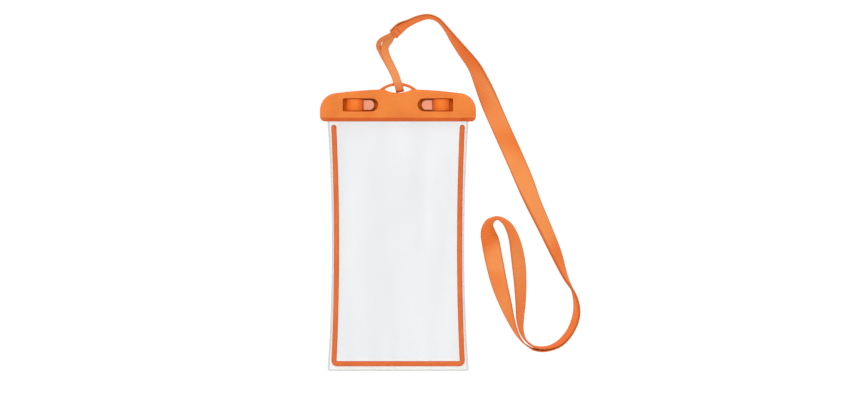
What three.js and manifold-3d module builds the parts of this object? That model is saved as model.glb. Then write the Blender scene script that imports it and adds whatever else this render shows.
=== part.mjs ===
// Waterproof phone pouch: a clear welded film pocket, closed by a clip with two slide locks,
// on a flat neck lanyard. It lies on its back. Millimetres: X across the pouch, Y up it towards
// the clip, Z up from the surface that it lies on.
import * as THREE from 'three';
import { mergeVertices } from 'three/addons/utils/BufferGeometryUtils.js';
import Module from 'manifold-3d';

const wasm = await Module();
wasm.setup();

// Running gaps
const gap = 0.3; // between pieces that touch or slide
const swingGap = 0.5; // round a catch that the opening jaw swings past

// The whole length, from the pocket's bottom edge to the top of the lanyard arch
const overallLength = 197.5;
const archTopY = overallLength / 2;
const pouchBottomY = -overallLength / 2;

// Clip, seen from the front
const clipWidth = 106.3;
const clipHeight = 21.8;
const archRise = 4.75; // how far the lanyard arch stands above the clip
const clipUpperY = archTopY - archRise;
const clipLowerY = clipUpperY - clipHeight;
const clipTopRadius = 330;
const clipUpperCornerRadius = 11.7;
const clipLowerCornerRadius = 3;

// Film and the height of its seam in the clip
const filmThickness = 0.5;
const seamInClipZ = 6.9;
const lipDepth = 5.4; // how far the film reaches in between the jaws

// Jaw heights, worked out from the seam
const rearFloorZ = seamInClipZ - gap / 2 - filmThickness - gap;
const hingeZ = seamInClipZ + gap / 2 + filmThickness + gap;
const rearLandZ = hingeZ - gap;

// Front jaw
const frontJawHeight = 6.35;
const frontEdgeRadius = 1.5;
const frontCrownRadius = 120;
const frontWall = 1.6;
const lowerDraft = THREE.MathUtils.degToRad(20); // lets the jaw fold back over the film
const plateThickness = 0.95;
const clampRibWidth = 1.2;
const clampRibHeight = 0.35;
const clampRibY = clipLowerY + 3.0;
const rearEdgeRadius = 1.2;

// Slide locks
const windowInnerX = 13.5;
const windowOuterX = 37.5;
const windowHeight = 8.7;
const windowWall = 1.3;
const lockFromLowerEdge = 11.0;
const lockY = clipLowerY + lockFromLowerEdge;
const sliderInnerX = 23.9;
const sliderLength = 11.1;
const sliderBaseThickness = 1.0;
const sliderBaseWidth = 10.8;
const sliderTravel = 7.0;
const sliderCoreLength = 3.5;
const sliderCapEdge = 0.65; // straight part of the thumb piece's ends
const sliderCapRise = 1.3;
const catchLength = 7.5;
const catchWidth = 7.0;
const catchHeadThickness = 1.2;
const neckLength = 4.4;
const neckWidth = 3.6;
const neckInset = 1.0; // from the outer end of the catch's head to its neck
const catchFootOverhang = 0.9;
const catchFootThickness = 2.2;

// Seal
const sealWidth = 1.6;
const sealHeight = 1.7;
const sealLength = 95;

// Lanyard arch and its eye
const archOuterRadius = 19.6;
const archBand = 1.9;
const eyeDepth = 2.6; // how far the eye dips into the clip's upper edge
const eyeLowerY = clipUpperY - eyeDepth;
const eyeLowerRadius = 19.1;
const eyeUpperRadius = 17.9;
const archLowZ = 2.2;
const archHighZ = 6.0;

// Pouch outline
const pouchTopHalfWidth = 48.25;
const pouchWaistHalfWidth = 45.3;
const pouchBottomHalfWidth = 48.45;
const waistFromBottom = 84.75;
const pouchWaistY = pouchBottomY + waistFromBottom;
const pouchCornerRadius = 2.2;

// Border bead on the weld
const beadWidth = 3.5;
const beadHeight = 1.0;
const beadTopFromClip = 2.4;
const beadTopY = clipLowerY - beadTopFromClip;
const beadBottomInset = 5.1; // from the pouch's bottom edge to the bead's middle
const beadSideInsetEnds = 4.2;
const beadSideInsetWaist = 3.2;
const beadCornerRadius = 2.2;

// How the pocket fills out
const frontBulge = 4.2;
const rearBulge = 5.2;
const seamMiddleZ = 3.9;
const seamBottomZ = 3.1;
const seamSagLength = 62; // from the clip to where the seam has sunk to its middle height
const seamSettleLength = 70; // from the waist to where it has sunk to its lowest
const bulgeStartLength = 45;
const bulgeEndLength = 24;
const bulgeSquareness = 2.6; // 2 is a round belly, more is flatter in its middle
const bulgeSideShape = 0.8;
const bulgeEndShape = 2.2;
const settleHeight = 0.6; // below it the rear film flattens onto the surface
const settleRate = 0.8;

// Lanyard webbing
const strapWidth = 12.5;
const strapThickness = 0.9;
const strapRestGap = 0.2; // the ribs of the webbing keep it this far off what it lies on
const tapeWidth = 5.8;
const tapeThickness = 0.6;
const tapeTuck = 6; // how far the tape's ends reach in between the strap's ends
const seamGap = 0.15; // between the layers of the sewn joint
const tapeSideGap = 0.4; // between the tape's two ends, which lie side by side in the joint

// Colours
const orange = 0xf4802f;
const deepOrange = 0xe8702a;
const webbingOrange = 0xf07a35;
const salmon = 0xffb08c;
const clearFilm = 0xdfe6ec;
const siliconeWhite = 0xe9e6e0;

const xAxis = new THREE.Vector3(1, 0, 0);
const yAxis = new THREE.Vector3(0, 1, 0);
const zAxis = new THREE.Vector3(0, 0, 1);

// A closed mesh of three.js becomes a solid that can be joined and cut
function solid(geometry) {
  const bare = geometry.clone();
  bare.deleteAttribute('normal');
  bare.deleteAttribute('uv');
  const merged = mergeVertices(bare, 1e-5);
  const vertProperties = new Float32Array(merged.attributes.position.array);
  const triVerts = new Uint32Array(merged.index.array);
  return new wasm.Manifold(new wasm.Mesh({ numProp: 3, vertProperties, triVerts }));
}

function geometryOf(body) {
  const { vertProperties, triVerts } = body.getMesh();
  const geometry = new THREE.BufferGeometry();
  geometry.setAttribute('position', new THREE.BufferAttribute(vertProperties, 3));
  geometry.setIndex(new THREE.BufferAttribute(triVerts, 1));
  geometry.computeVertexNormals();
  return geometry;
}

function box(x0, x1, y0, y1, z0, z1) {
  const geometry = new THREE.BoxGeometry(x1 - x0, y1 - y0, z1 - z0);
  geometry.translate((x0 + x1) / 2, (y0 + y1) / 2, (z0 + z1) / 2);
  return solid(geometry);
}

function extruded(shape, z0, z1, edgeRadius = 0, curveSegments = 12) {
  const geometry = new THREE.ExtrudeGeometry(shape, {
    depth: z1 - z0 - 2 * edgeRadius,
    curveSegments,
    bevelEnabled: edgeRadius > 0,
    bevelThickness: edgeRadius,
    bevelSize: edgeRadius,
    bevelOffset: -edgeRadius,
    bevelSegments: 3,
  });
  geometry.translate(0, 0, z0 + edgeRadius);
  return solid(geometry);
}

// A profile drawn as (y, z) and run across the clip along X
function acrossX(shape, x0, x1) {
  const geometry = new THREE.ExtrudeGeometry(shape, { depth: x1 - x0, bevelEnabled: false, curveSegments: 10 });
  geometry.applyMatrix4(new THREE.Matrix4().makeBasis(yAxis, zAxis, xAxis));
  geometry.translate(x0, 0, 0);
  return solid(geometry);
}

// The clip's outline, pulled in by inset all round
function clipOutline(inset) {
  const half = clipWidth / 2 - inset;
  const low = clipLowerY + inset;
  const high = clipUpperY - inset;
  const topRadius = clipTopRadius - inset;
  const corner = clipUpperCornerRadius - inset;
  const lowCorner = Math.max(clipLowerCornerRadius - inset, 0.4);
  const cornerX = half - corner;
  const topCentreY = high - topRadius;
  const cornerY = topCentreY + Math.sqrt((topRadius - corner) ** 2 - cornerX ** 2);
  const lean = Math.atan2(cornerY - topCentreY, cornerX);
  const shape = new THREE.Shape();
  shape.moveTo(-half + lowCorner, low);
  shape.lineTo(half - lowCorner, low);
  shape.absarc(half - lowCorner, low + lowCorner, lowCorner, -Math.PI / 2, 0, false);
  shape.absarc(cornerX, cornerY, corner, 0, lean, false);
  shape.absarc(0, topCentreY, topRadius, lean, Math.PI - lean, false);
  shape.absarc(-cornerX, cornerY, corner, Math.PI - lean, Math.PI, false);
  shape.absarc(-half + lowCorner, low + lowCorner, lowCorner, Math.PI, 1.5 * Math.PI, false);
  return shape;
}

// The dip in both jaws' upper edge that leaves the lower half of the lanyard eye
function eyeDip(inset, z0, z1) {
  const disc = new THREE.Shape();
  disc.absarc(0, eyeLowerY + eyeLowerRadius, eyeLowerRadius + inset, 0, 2 * Math.PI, false);
  return extruded(disc, z0, z1, 0, 72);
}

// A block of the front jaw's own form, pulled in by inset, with its leaning lower side
function frontJawBlock(inset, z0, z1, edgeRadius) {
  const spare = 10;
  const tall = extruded(clipOutline(inset), z0 - spare, z1, edgeRadius);
  const lean = Math.tan(lowerDraft);
  const lowerY = clipLowerY + inset / Math.cos(lowerDraft) + (z0 - hingeZ) * lean;
  const leaning = new THREE.Shape();
  leaning.moveTo(lowerY, z0);
  leaning.lineTo(clipUpperY + spare, z0);
  leaning.lineTo(clipUpperY + spare, z1 + 1);
  leaning.lineTo(lowerY + (z1 + 1 - z0) * lean, z1 + 1);
  return tall.intersect(acrossX(leaning, -clipWidth, clipWidth)).subtract(eyeDip(inset, z0 - 1, z1 + 1));
}

// The gently crowned face of the front jaw, as the space below it
function underCrown() {
  const middleY = (clipLowerY + clipUpperY) / 2;
  const halfReach = clipUpperY - clipLowerY;
  const sweepAngle = Math.asin(halfReach / frontCrownRadius);
  const profile = new THREE.Shape();
  profile.moveTo(middleY - halfReach, 0);
  profile.lineTo(middleY + halfReach, 0);
  const centreZ = frontFaceZ - frontCrownRadius;
  profile.absarc(middleY, centreZ, frontCrownRadius, Math.PI / 2 - sweepAngle, Math.PI / 2 + sweepAngle, false);
  return acrossX(profile, -clipWidth, clipWidth);
}

// One lock window, square at its outer end and round at its inner end
function windowShape(side, grow) {
  const half = windowHeight / 2;
  const roundX = windowInnerX + half;
  const shape = new THREE.Shape();
  const outer = windowOuterX + grow;
  const radius = half + grow;
  shape.moveTo(roundX, -radius);
  shape.lineTo(outer, -radius);
  shape.lineTo(outer, radius);
  shape.lineTo(roundX, radius);
  shape.absarc(roundX, 0, radius, Math.PI / 2, 1.5 * Math.PI, false);
  const points = shape.getPoints(8).map((p) => new THREE.Vector2(side * p.x, lockY + p.y));
  return new THREE.Shape(points);
}

// Heights of the lock, from the plate up
const plateTopZ = hingeZ + clampRibHeight + plateThickness;
const sliderBaseZ = plateTopZ + gap;
const headLowZ = sliderBaseZ + sliderBaseThickness + gap;
const headHighZ = headLowZ + catchHeadThickness;
const capLowZ = headHighZ + gap;
const frontFaceZ = hingeZ + frontJawHeight;
const roofLowZ = frontFaceZ - frontWall;
const catchOuterX = sliderInnerX - gap;
const catchInnerX = catchOuterX - catchLength;
const neckOuterX = catchOuterX - neckInset;
const neckInnerX = neckOuterX - neckLength;
const sliderCoreInnerX = sliderInnerX + sliderLength - sliderCoreLength - gap;

function frontJawShell() {
  let shell = frontJawBlock(0, hingeZ, frontFaceZ, frontEdgeRadius).intersect(underCrown());
  shell = shell.subtract(frontJawBlock(frontWall, hingeZ - 1, roofLowZ, 0));
  for (const side of [-1, 1]) {
    shell = shell.add(extruded(windowShape(side, windowWall), headLowZ, roofLowZ + frontWall / 2));
    shell = shell.subtract(extruded(windowShape(side, 0), headLowZ - 1, frontFaceZ + 1));
  }
  return shell;
}

function frontJawPlate() {
  const inset = frontWall + gap;
  let plate = frontJawBlock(inset, hingeZ + clampRibHeight, plateTopZ, 0);
  const ribHalf = sealLength / 2;
  const ribY = clampRibY - clampRibWidth / 2;
  plate = plate.add(box(-ribHalf, ribHalf, ribY, ribY + clampRibWidth, hingeZ, plateTopZ - gap));
  const rise = headHighZ - hingeZ;
  const headTopY = lockY + catchWidth / 2;
  const sweptY = clipLowerY + Math.hypot(headTopY - clipLowerY, rise);
  for (const side of [-1, 1]) {
    const xs = [side * (catchInnerX - swingGap), side * (catchOuterX + swingGap)].sort((a, b) => a - b);
    const lowY = lockY - catchWidth / 2 - swingGap;
    plate = plate.subtract(box(xs[0], xs[1], lowY, sweptY + swingGap, hingeZ - 1, plateTopZ + 1));
  }
  return plate;
}

// A slider: a forked base under the window's walls, a core, and a domed thumb piece in the window
function slider(side) {
  const end = sliderInnerX + sliderLength;
  const forkRoot = neckOuterX + gap + sliderTravel;
  const halfBase = sliderBaseWidth / 2;
  const forkHalf = neckWidth / 2 + gap;
  const halfCap = windowHeight / 2 - gap;
  let body = box(sliderInnerX, end, lockY - halfBase, lockY + halfBase, sliderBaseZ, sliderBaseZ + sliderBaseThickness);
  body = body.subtract(
    box(sliderInnerX - 1, forkRoot, lockY - forkHalf, lockY + forkHalf, sliderBaseZ - 1, headLowZ),
  );
  const coreLow = sliderBaseZ + sliderBaseThickness / 2;
  body = body.add(box(sliderCoreInnerX, end - gap, lockY - halfCap + gap, lockY + halfCap - gap, coreLow, capLowZ + 0.2));
  const middleX = sliderInnerX + sliderLength / 2;
  const halfLength = sliderLength / 2;
  const domeRadius = (halfLength ** 2 + sliderCapRise ** 2) / (2 * sliderCapRise);
  const domeAngle = Math.asin(halfLength / domeRadius);
  const capEdgeZ = capLowZ + sliderCapEdge;
  const cap = new THREE.Shape();
  cap.moveTo(sliderInnerX, capLowZ);
  cap.lineTo(end, capLowZ);
  cap.lineTo(end, capEdgeZ);
  const domeCentreZ = capEdgeZ + sliderCapRise - domeRadius;
  cap.absarc(middleX, domeCentreZ, domeRadius, Math.PI / 2 - domeAngle, Math.PI / 2 + domeAngle, false);
  const thumb = new THREE.ExtrudeGeometry(cap, { depth: 2 * halfCap, curveSegments: 12, bevelEnabled: false });
  thumb.applyMatrix4(new THREE.Matrix4().makeBasis(xAxis, zAxis, yAxis.clone().negate()));
  thumb.translate(0, lockY + halfCap, 0);
  body = body.add(solid(thumb));
  return side < 0 ? body.mirror([1, 0, 0]) : body;
}

// A lock catch: a foot in the rear jaw, a neck, and the pale head that shows in the window
function lockCatch(side) {
  const inner = catchInnerX;
  const round = catchWidth / 2;
  const head = new THREE.Shape();
  head.moveTo(inner + round, lockY - round);
  head.lineTo(catchOuterX, lockY - round);
  head.lineTo(catchOuterX, lockY + round);
  head.lineTo(inner + round, lockY + round);
  head.absarc(inner + round, lockY, round, Math.PI / 2, 1.5 * Math.PI, false);
  const halfNeck = neckWidth / 2;
  const over = catchFootOverhang;
  const footLow = rearFloorZ - catchFootThickness;
  let body = extruded(head, headLowZ, headHighZ);
  body = body.add(box(neckInnerX, neckOuterX, lockY - halfNeck, lockY + halfNeck, footLow, headLowZ + gap));
  body = body.add(
    box(neckInnerX - over, neckOuterX + over, lockY - halfNeck - over, lockY + halfNeck + over, footLow, rearFloorZ),
  );
  return side < 0 ? body.mirror([1, 0, 0]) : body;
}

// The lanyard arch, a crescent on the rear jaw, with its feet sunk in the jaw's upper edge
function archShape() {
  const centreY = archTopY - archOuterRadius;
  const footY = clipUpperY - 2;
  const footAngle = Math.asin((footY - centreY) / archOuterRadius);
  const shape = new THREE.Shape();
  shape.absarc(0, centreY, archOuterRadius, footAngle, Math.PI - footAngle, false);
  return shape;
}

function eyeShape() {
  const upperCentreY = archTopY - archBand - eyeUpperRadius;
  const lowerCentreY = eyeLowerY + eyeLowerRadius;
  const apart = lowerCentreY - upperCentreY;
  const along = (apart ** 2 + eyeUpperRadius ** 2 - eyeLowerRadius ** 2) / (2 * apart);
  const cornerX = Math.sqrt(eyeUpperRadius ** 2 - along ** 2);
  const cornerY = upperCentreY + along;
  const upper = Math.atan2(cornerY - upperCentreY, cornerX);
  const lower = Math.atan2(cornerY - lowerCentreY, cornerX);
  const shape = new THREE.Shape();
  shape.absarc(0, upperCentreY, eyeUpperRadius, upper, Math.PI - upper, false);
  shape.absarc(0, lowerCentreY, eyeLowerRadius, Math.PI - lower, 2 * Math.PI + lower, false);
  return shape;
}

function rearJaw() {
  const outer = extruded(clipOutline(0), 0, rearLandZ + 2 * rearEdgeRadius, rearEdgeRadius);
  let jaw = outer.intersect(box(-clipWidth, clipWidth, clipLowerY - 1, clipUpperY + 1, -1, rearLandZ));
  jaw = jaw.add(extruded(archShape(), archLowZ, archHighZ, 0, 24));
  jaw = jaw.subtract(extruded(eyeShape(), -1, rearLandZ + 1, 0, 24));
  const lipTop = clipLowerY + lipDepth + gap;
  const lipHalf = pouchTopHalfWidth + gap;
  jaw = jaw.subtract(box(-lipHalf, lipHalf, clipLowerY - 1, lipTop, rearFloorZ, rearLandZ + 1));
  const grooveHalf = sealLength / 2 + gap;
  const grooveY = clampRibY - sealWidth / 2 - gap;
  jaw = jaw.subtract(
    box(-grooveHalf, grooveHalf, grooveY, grooveY + sealWidth + 2 * gap, rearFloorZ - sealHeight - gap, rearFloorZ + 1),
  );
  const footGap = catchFootOverhang + gap;
  const footHalf = neckWidth / 2 + footGap;
  const footLow = rearFloorZ - catchFootThickness - gap;
  for (const side of [-1, 1]) {
    const xs = [side * (neckInnerX - footGap), side * (neckOuterX + footGap)].sort((a, b) => a - b);
    jaw = jaw.subtract(box(xs[0], xs[1], lockY - footHalf, lockY + footHalf, footLow, rearLandZ + 1));
  }
  return jaw;
}

function sealStrip() {
  const half = sealLength / 2;
  return box(-half, half, clampRibY - sealWidth / 2, clampRibY + sealWidth / 2, rearFloorZ - sealHeight, rearFloorZ);
}

// Half the pouch's width at a height y, drawn in at the waist and rounded at the bottom corners
function pouchHalfWidth(y) {
  const ends = y > pouchWaistY ? pouchTopHalfWidth : pouchBottomHalfWidth;
  const span = y > pouchWaistY ? clipLowerY - pouchWaistY : pouchWaistY - pouchBottomY;
  const t = Math.min(Math.abs(y - pouchWaistY) / span, 1);
  const plain = pouchWaistHalfWidth + (ends - pouchWaistHalfWidth) * t * t;
  const up = Math.max(pouchCornerRadius - (y - pouchBottomY), 0);
  return plain - pouchCornerRadius + Math.sqrt(Math.max(pouchCornerRadius ** 2 - up ** 2, 0));
}

function beadHalfWidth(y) {
  const span = y > pouchWaistY ? clipLowerY - pouchWaistY : pouchWaistY - pouchBottomY;
  const t = Math.min(Math.abs(y - pouchWaistY) / span, 1);
  const inset = beadSideInsetWaist + (beadSideInsetEnds - beadSideInsetWaist) * t * t;
  const ends = y > pouchWaistY ? pouchTopHalfWidth : pouchBottomHalfWidth;
  return pouchWaistHalfWidth + (ends - pouchWaistHalfWidth) * t * t - inset;
}

// Height of the welded seam: level in the clip, then sagging to the surface it lies on
function seamZ(y) {
  const near = THREE.MathUtils.smoothstep(clipLowerY - y, 0, seamSagLength);
  const far = THREE.MathUtils.smoothstep(pouchWaistY - y, 0, seamSettleLength);
  return seamInClipZ + (seamMiddleZ - seamInClipZ) * near + (seamBottomZ - seamMiddleZ) * far;
}

const pocketBottomY = pouchBottomY + beadBottomInset + beadWidth / 2;

// How far the pocket is filled out at a point, from 0 at its weld to 1 in its middle
function fill(x, y) {
  const half = beadHalfWidth(y) - beadWidth / 2;
  const across = Math.min(Math.abs(x) / half, 1);
  const start = THREE.MathUtils.smoothstep(clipLowerY - y, 0, bulgeStartLength);
  const end = THREE.MathUtils.clamp((y - pocketBottomY) / bulgeEndLength, 0, 1);
  const sides = Math.pow(1 - Math.pow(across, bulgeSquareness), bulgeSideShape);
  return sides * start * (1 - Math.pow(1 - end, bulgeEndShape));
}

function frontFilmZ(x, y) {
  return seamZ(y) + gap / 2 + frontBulge * fill(x, y);
}

// The rear film bellies down until it lies flat on the surface
function rearFilmZ(x, y) {
  const free = seamZ(y) - gap / 2 - filmThickness - rearBulge * fill(x, y);
  return free > settleHeight ? free : settleHeight * Math.max(1 - (1 - free / settleHeight) * settleRate, 0);
}

// Rows and columns of the film, closer together near the weld and the clip
const pocketRows = [
  0, 0.03, 0.07, 0.105, 0.145, 0.19, 0.235, 0.275, 0.33, 0.39, 0.465, 0.54, 0.61, 0.685, 0.755, 0.815, 0.865, 0.9,
  0.93, 0.955, 0.98, 1,
];
const cornerRows = [1, 0.4, 0.12, 0];
const filmRows = [
  clipLowerY + lipDepth,
  ...pocketRows.map((t) => THREE.MathUtils.lerp(clipLowerY, pocketBottomY, t)),
  ...cornerRows.map((t) => pouchBottomY + t * pouchCornerRadius),
];
const filmColumns = [0, 0.16, 0.32, 0.47, 0.61, 0.73, 0.83, 0.91, 0.965, 1];

function film(lowZ) {
  const across = [...filmColumns.slice(1).reverse().map((c) => -c), ...filmColumns];
  const columns = across.length + 2;
  const vertices = [];
  for (const high of [0, 1]) {
    for (const y of filmRows) {
      const half = pouchHalfWidth(y);
      const inner = Math.min(beadHalfWidth(y) - beadWidth / 2, half - 0.5);
      const xs = [-half, ...across.map((c) => c * inner), half];
      for (const x of xs) vertices.push(x, y, lowZ(x, y) + high * filmThickness);
    }
  }
  const layer = columns * filmRows.length;
  const at = (high, row, column) => high * layer + row * columns + column;
  const triangles = [];
  const quad = (a, b, c, d) => triangles.push(a, b, c, a, c, d);
  for (let row = 0; row + 1 < filmRows.length; row += 1) {
    for (let column = 0; column + 1 < columns; column += 1) {
      quad(at(1, row, column), at(1, row + 1, column), at(1, row + 1, column + 1), at(1, row, column + 1));
      quad(at(0, row, column), at(0, row, column + 1), at(0, row + 1, column + 1), at(0, row + 1, column));
    }
    const right = columns - 1;
    quad(at(0, row, 0), at(0, row + 1, 0), at(1, row + 1, 0), at(1, row, 0));
    quad(at(0, row, right), at(1, row, right), at(1, row + 1, right), at(0, row + 1, right));
  }
  const bottom = filmRows.length - 1;
  for (let column = 0; column + 1 < columns; column += 1) {
    quad(at(0, 0, column), at(1, 0, column), at(1, 0, column + 1), at(0, 0, column + 1));
    quad(at(0, bottom, column), at(0, bottom, column + 1), at(1, bottom, column + 1), at(1, bottom, column));
  }
  const geometry = new THREE.BufferGeometry();
  geometry.setAttribute('position', new THREE.Float32BufferAttribute(vertices, 3));
  geometry.setIndex(triangles);
  geometry.computeVertexNormals();
  return geometry;
}

// A section swept along stations. A station has its place, its width and thickness directions and a scale
function sweep(stations, ring) {
  const vertices = [];
  for (const { place, wide, thick, scale } of stations) {
    for (const [a, b] of ring) {
      const p = place.clone().addScaledVector(wide, a * scale).addScaledVector(thick, b * scale);
      vertices.push(p.x, p.y, p.z);
    }
  }
  const sides = ring.length;
  const triangles = [];
  for (let i = 0; i + 1 < stations.length; i += 1) {
    for (let k = 0; k < sides; k += 1) {
      const a = i * sides + k;
      const b = i * sides + ((k + 1) % sides);
      triangles.push(a, b, b + sides, a, b + sides, a + sides);
    }
  }
  const last = (stations.length - 1) * sides;
  for (let k = 1; k + 1 < sides; k += 1) {
    triangles.push(0, k + 1, k, last, last + k, last + k + 1);
  }
  const geometry = new THREE.BufferGeometry();
  geometry.setAttribute('position', new THREE.Float32BufferAttribute(vertices, 3));
  geometry.setIndex(triangles);
  geometry.computeVertexNormals();
  return geometry;
}

// The raised border bead: down one side, across the bottom and up the other side
function borderStrip() {
  const bottomY = pouchBottomY + beadBottomInset;
  const turnY = bottomY + beadCornerRadius;
  const turnX = beadHalfWidth(turnY) - beadCornerRadius;
  const sideSteps = 22;
  const line = [];
  const endInset = beadWidth / 2;
  const taper = [0, 0.35, 0.7, 1];
  for (const t of taper) line.push([-beadHalfWidth(beadTopY - t * endInset), beadTopY - t * endInset]);
  for (let i = 1; i <= sideSteps; i += 1) {
    const y = beadTopY - endInset + ((turnY - beadTopY + endInset) * i) / sideSteps;
    line.push([-beadHalfWidth(y), y]);
  }
  for (let i = 1; i <= 5; i += 1) {
    const angle = Math.PI + (i / 5) * (Math.PI / 2);
    line.push([-turnX + beadCornerRadius * Math.cos(angle), turnY + beadCornerRadius * Math.sin(angle)]);
  }
  const left = line.slice();
  line.push([0, bottomY]);
  for (const [x, y] of left.reverse()) line.push([-x, y]);
  const last = line.length - 1;
  const stations = line.map(([x, y], i) => {
    const before = line[Math.max(i - 1, 0)];
    const after = line[Math.min(i + 1, last)];
    const along = new THREE.Vector3(after[0] - before[0], after[1] - before[1], 0).normalize();
    const wide = new THREE.Vector3().crossVectors(zAxis, along);
    const near = Math.min(i, last - i);
    const t = near < taper.length ? taper[near] : 1;
    const scale = Math.max(Math.sqrt(1 - (1 - t) ** 2), 0.25);
    const low = frontFilmZ(x, y) + filmThickness + gap;
    return { place: new THREE.Vector3(x, y, low), wide, thick: zAxis, scale };
  });
  const ring = [];
  for (let k = 0; k <= 8; k += 1) {
    const angle = (Math.PI * k) / 8;
    ring.push([-(beadWidth / 2) * Math.cos(angle), 0.3 + (beadHeight - 0.3) * Math.sin(angle)]);
  }
  ring.push([beadWidth / 2, 0], [-beadWidth / 2, 0]);
  return sweep(stations, ring.reverse());
}

// The lanyard's strap lies doubled from its sewn ends to the point where its two layers part.
// Each point is x, y from the clip's upper edge, and the strap's roll in degrees: 0 lies flat, 90 stands on edge.
const strapRun = [
  [-3.4, 37.4, -69], [1.2, 41.9, -69], [6.9, 45.2, -77], [14.3, 48.5, -80], [21.1, 49.8, -85],
  [27.2, 47.6, -86], [32.8, 41.6, -83], [38.1, 34.1, -73], [44.2, 26.1, -64], [52.1, 15.6, -54],
  [57.7, 3.8, -37], [64.2, -11.8, -10], [71.1, -27.5, 0], [77.6, -41.9, 1], [85.7, -60.5, 10],
  [91.9, -76.1, 33], [100.5, -94.9, 46], [107.8, -111.4, 56], [114.6, -128.6, 78], [119.9, -138.6, 91],
  [122.0, -147.0, 100], [121.7, -155.5, 105], [117.5, -165.9, 104], [111.0, -173.3, 102], [104.0, -176.8, 96],
  [97.6, -177.6, 94], [92.2, -176.7, 92],
];

// Its opened end goes up the outer strand, over the top and down the inner strand
const strapLoop = [
  [85.8, -173.2, 88], [81.2, -166.8, 81], [77.5, -158.3, 69], [73.7, -147.1, 51], [69.4, -133.1, 32],
  [66.1, -118.7, 17], [63.6, -105.7, 12], [62.0, -96.4, 40], [63.6, -90.2, 70], [67.5, -87.9, 81],
  [71.6, -89.5, 75], [75.8, -93.9, 64], [78.9, -100.7, 56], [80.9, -108.9, 47], [82.5, -119.1, 42],
  [83.5, -131.4, 47], [83.8, -145.6, 56], [83.5, -156.4, 65], [84.3, -164.8, 76], [87.5, -171.6, 87],
];

// The tape through the eye is also doubled. Each point is x, y from the clip's upper edge, z, and its roll.
const tapeUpper = [
  [1.0, 0.9, 6.5, 0], [0.0, 3.6, 6.8, 0], [-0.6, 5.4, 6.7, 0], [-2.0, 9.6, 4.6, 0], [-5.1, 16.3, 2.6, -2],
  [-7.8, 22.0, 2.4, -8], [-8.9, 25.6, 2.7, -16], [-8.9, 28.2, 3.0, -30], [-7.9, 30.6, 3.4, -28], [-5.9, 33.6, 3.9, -36],
];
const tapeLower = [
  [1.0, 0.9, 1.7, 0], [0.0, 3.6, 1.4, 0], [-0.6, 5.4, 1.3, 0], [-2.0, 9.6, 1.0, 0], [-5.3, 16.3, 1.0, -3],
  [-8.3, 21.6, 1.5, -14], [-11.2, 25.6, 2.8, -42], [-13.2, 29.4, 4.8, -60], [-12.4, 32.4, 6.6, -66], [-8.8, 35.6, 8.4, -66],
];
const tapeTurnCentreZ = 4.1;
const tapeTurnRadius = 2.4;

// A smooth line through points with a roll, read as stations with a level width direction rolled about the line
function rolledLine(points, steps) {
  const places = points.map(([x, y, z]) => new THREE.Vector3(x, y + clipUpperY, z));
  const line = new THREE.CatmullRomCurve3(places, false, 'centripetal');
  const rolls = new THREE.CatmullRomCurve3(points.map((p) => new THREE.Vector3(p[3], 0, 0)), false, 'catmullrom', 0.5);
  const stations = [];
  for (let i = 0; i <= steps; i += 1) {
    const t = i / steps;
    const roll = THREE.MathUtils.degToRad(rolls.getPoint(t).x);
    const along = line.getTangent(t).normalize();
    const side = new THREE.Vector3().crossVectors(along, zAxis).normalize();
    const up = new THREE.Vector3().crossVectors(side, along).normalize();
    const wide = side.clone().multiplyScalar(Math.cos(roll)).addScaledVector(up, Math.sin(roll));
    const face = side.clone().multiplyScalar(-Math.sin(roll)).addScaledVector(up, Math.cos(roll));
    stations.push({ place: line.getPoint(t), wide, face });
  }
  return stations;
}

// Webbing stations get their thickness direction from the way that they follow each other
function ribbon(stations, width, thickness) {
  const last = stations.length - 1;
  const placed = stations.map(({ place, wide }, i) => {
    const along = stations[Math.min(i + 1, last)].place.clone().sub(stations[Math.max(i - 1, 0)].place).normalize();
    const square = wide.clone().addScaledVector(along, -wide.dot(along)).normalize();
    const thick = new THREE.Vector3().crossVectors(along, square);
    return { place, wide: square, thick, scale: 1 };
  });
  const half = width / 2;
  const low = thickness / 2;
  const edge = thickness * 0.3;
  const ring = [
    [-half, -low + edge], [-half + edge, -low], [half - edge, -low], [half, -low + edge],
    [half, low - edge], [half - edge, low], [-half + edge, low], [-half, low - edge],
  ];
  return sweep(placed, ring);
}

function standing([x, y, roll], layers) {
  const lean = THREE.MathUtils.degToRad(roll);
  const stack = layers * strapThickness + (layers - 1) * gap;
  const z = (strapWidth / 2) * Math.abs(Math.sin(lean)) + (stack / 2) * Math.abs(Math.cos(lean)) + strapRestGap;
  return [x, y, z, roll];
}

const strapSpread = (strapThickness + gap) / 2;
const sewnSpread = (tapeThickness + strapThickness) / 2 + seamGap;
const tapeSide = (tapeWidth + tapeSideGap) / 2;
const sewnStations = 3;
const partingStations = 5;
const partingSpread = 0.3; // how much wider each layer swings out before they part
const runSteps = 30;
const loopSteps = 30;

// How far each strap layer lies from the middle: apart where the tape is sewn in between, and again
// where they are about to part
function layerSpread(i) {
  const together = THREE.MathUtils.smoothstep(i, 1, sewnStations);
  const parted = THREE.MathUtils.smoothstep(i, runSteps - partingStations, runSteps);
  return sewnSpread + (strapSpread - sewnSpread) * together + partingSpread * parted;
}

const runPoints = strapRun.map((point) => standing(point, 2));
runPoints.forEach((point, i) => {
  if (i < 2) point[2] += sewnSpread - strapSpread;
});
const runLine = rolledLine(runPoints, runSteps);

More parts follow.
